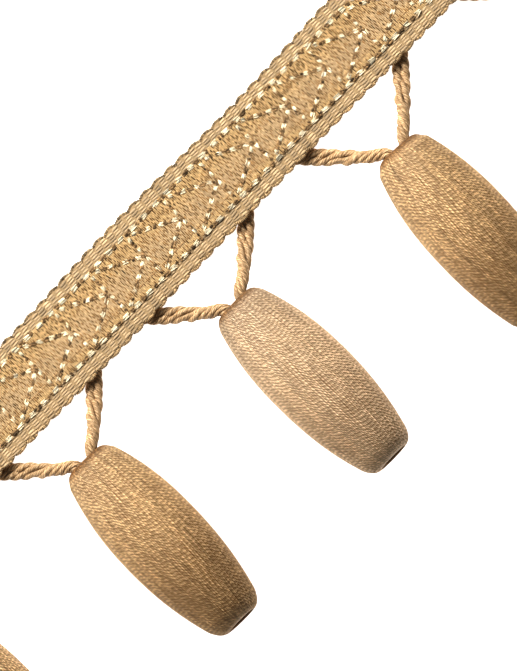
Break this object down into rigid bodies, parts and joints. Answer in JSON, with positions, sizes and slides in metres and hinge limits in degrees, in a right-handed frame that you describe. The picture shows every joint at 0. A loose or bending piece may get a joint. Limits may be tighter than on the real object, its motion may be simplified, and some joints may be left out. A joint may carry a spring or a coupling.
{
  "type": "bead fringe trim",
  "caption": "Bead fringe trim: a woven braid heading with scalloped edges and a metallic zigzag, and yarn-wound barrel beads hung below it on doubled cords.",
  "frame": {"origin": "on the heading's flat back, in the middle of its length, 5 mm in from its upper edge", "axes": "+X along the heading, -Y from the heading towards the beads, +Z out of the face"},
  "size_m": [0.3076, 0.1055, 0.0259],
  "materials": {
    "braid": "satin woven braid",
    "wound_yarn": "satin wound yarn",
    "cord": "satin twisted cord"
  },
  "bodies": {
    "root": {"heading": "braid", "bead_1": "wound_yarn", "bead_2": "wound_yarn", "bead_3": "wound_yarn", "bead_4": "wound_yarn", "bead_5": "wound_yarn", "cord_1_left": "cord", "cord_1_right": "cord", "cord_2_left": "cord", "cord_2_right": "cord", "cord_3_left": "cord", "cord_3_right": "cord", "cord_4_left": "cord", "cord_4_right": "cord", "cord_5_left": "cord", "cord_5_right": "cord"}
  },
  "joints": []
}
